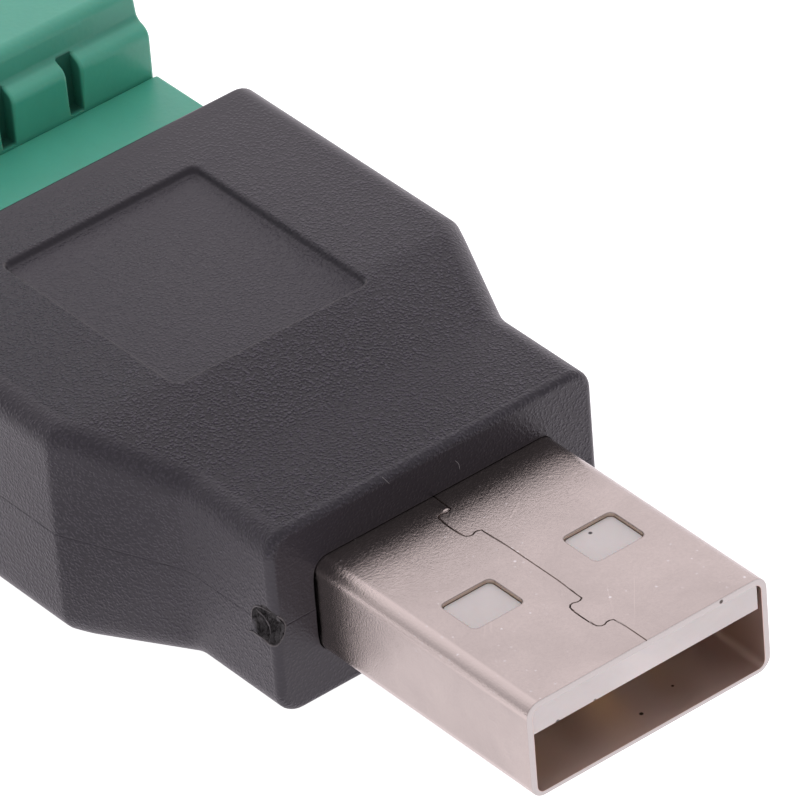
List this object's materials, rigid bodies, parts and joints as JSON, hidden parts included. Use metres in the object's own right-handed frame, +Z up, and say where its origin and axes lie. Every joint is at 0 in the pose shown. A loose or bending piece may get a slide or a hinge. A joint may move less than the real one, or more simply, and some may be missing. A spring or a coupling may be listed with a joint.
{
  "type": "usb terminal block adapter",
  "caption": "Short adapter with a USB type A plug moulded into a tapered black body, and a green pluggable screw terminal block at its rear for bare wires.",
  "frame": {"origin": "centre of the adapter's box in plan, on the flat underside of the moulded body", "axes": "+X across the width, the USB plug points along -Y and the wires enter from +Y, +Z up through the screw heads"},
  "size_m": [0.0208, 0.0514, 0.0124],
  "materials": {
    "nickel_shell": "satin nickel plating on folded steel sheet, scratched",
    "white_insulator": "satin moulded insulator",
    "gold_contact": "flash gold plating",
    "black_moulding": "matte moulding with fine leather grain",
    "board_laminate": "solder-masked laminate",
    "green_header": "satin moulded plastic",
    "green_plug": "satin moulded plastic",
    "tinned_pin": "matt tin plating",
    "plated_contact": "tin plating on copper alloy",
    "plated_cage": "nickel plating on brass",
    "zinc_screw": "zinc plating"
  },
  "bodies": {
    "adapter": {"usb_shell": "nickel_shell", "usb_tongue": "white_insulator", "usb_contact_supply": "gold_contact", "usb_contact_data_minus": "gold_contact", "usb_contact_data_plus": "gold_contact", "usb_contact_ground": "gold_contact", "overmould": "black_moulding", "carrier_board": "board_laminate", "header_housing": "green_header", "header_pin_1": "tinned_pin", "header_pin_2": "tinned_pin", "header_pin_3": "tinned_pin", "header_pin_4": "tinned_pin", "header_pin_5": "tinned_pin"},
    "terminal_plug": {"plug_housing": "green_plug", "plug_contact_1": "plated_contact", "plug_contact_2": "plated_contact", "plug_contact_3": "plated_contact", "plug_contact_4": "plated_contact", "plug_contact_5": "plated_contact"},
    "cage_1": {"clamp_cage_1": "plated_cage"},
    "screw_1": {"clamp_screw_1": "zinc_screw"},
    "cage_2": {"clamp_cage_2": "plated_cage"},
    "screw_2": {"clamp_screw_2": "zinc_screw"},
    "cage_3": {"clamp_cage_3": "plated_cage"},
    "screw_3": {"clamp_screw_3": "zinc_screw"},
    "cage_4": {"clamp_cage_4": "plated_cage"},
    "screw_4": {"clamp_screw_4": "zinc_screw"},
    "cage_5": {"clamp_cage_5": "plated_cage"},
    "screw_5": {"clamp_screw_5": "zinc_screw"}
  },
  "joints": [
    {"name": "plug_pull", "type": "slide", "parent": "adapter", "child": "terminal_plug", "axis": [0, 1, 0], "range_m": [0, 0.0085]},
    {"name": "screw_1_turn", "type": "hinge", "parent": "terminal_plug", "child": "screw_1", "pos_m": [-0.007, 0.02127, 0.008], "axis": [0, 0, -1], "range_deg": [0, 1440]},
    {"name": "cage_1_lift", "type": "slide", "parent": "terminal_plug", "child": "cage_1", "axis": [0, 0, 1], "range_m": [0, 0.0016]},
    {"name": "screw_2_turn", "type": "hinge", "parent": "terminal_plug", "child": "screw_2", "pos_m": [-0.0035, 0.02127, 0.008], "axis": [0, 0, -1], "range_deg": [0, 1440]},
    {"name": "cage_2_lift", "type": "slide", "parent": "terminal_plug", "child": "cage_2", "axis": [0, 0, 1], "range_m": [0, 0.0016]},
    {"name": "screw_3_turn", "type": "hinge", "parent": "terminal_plug", "child": "screw_3", "pos_m": [0, 0.02127, 0.008], "axis": [0, 0, -1], "range_deg": [0, 1440]},
    {"name": "cage_3_lift", "type": "slide", "parent": "terminal_plug", "child": "cage_3", "axis": [0, 0, 1], "range_m": [0, 0.0016]},
    {"name": "screw_4_turn", "type": "hinge", "parent": "terminal_plug", "child": "screw_4", "pos_m": [0.0035, 0.02127, 0.008], "axis": [0, 0, -1], "range_deg": [0, 1440]},
    {"name": "cage_4_lift", "type": "slide", "parent": "terminal_plug", "child": "cage_4", "axis": [0, 0, 1], "range_m": [0, 0.0016]},
    {"name": "screw_5_turn", "type": "hinge", "parent": "terminal_plug", "child": "screw_5", "pos_m": [0.007, 0.02127, 0.008], "axis": [0, 0, -1], "range_deg": [0, 1440]},
    {"name": "cage_5_lift", "type": "slide", "parent": "terminal_plug", "child": "cage_5", "axis": [0, 0, 1], "range_m": [0, 0.0016]}
  ],
  "couplings": [
    {"joint": "screw_1_turn", "follows": "cage_1_lift", "rad_per_m": 15708},
    {"joint": "screw_2_turn", "follows": "cage_2_lift", "rad_per_m": 15708},
    {"joint": "screw_3_turn", "follows": "cage_3_lift", "rad_per_m": 15708},
    {"joint": "screw_4_turn", "follows": "cage_4_lift", "rad_per_m": 15708},
    {"joint": "screw_5_turn", "follows": "cage_5_lift", "rad_per_m": 15708}
  ]
}
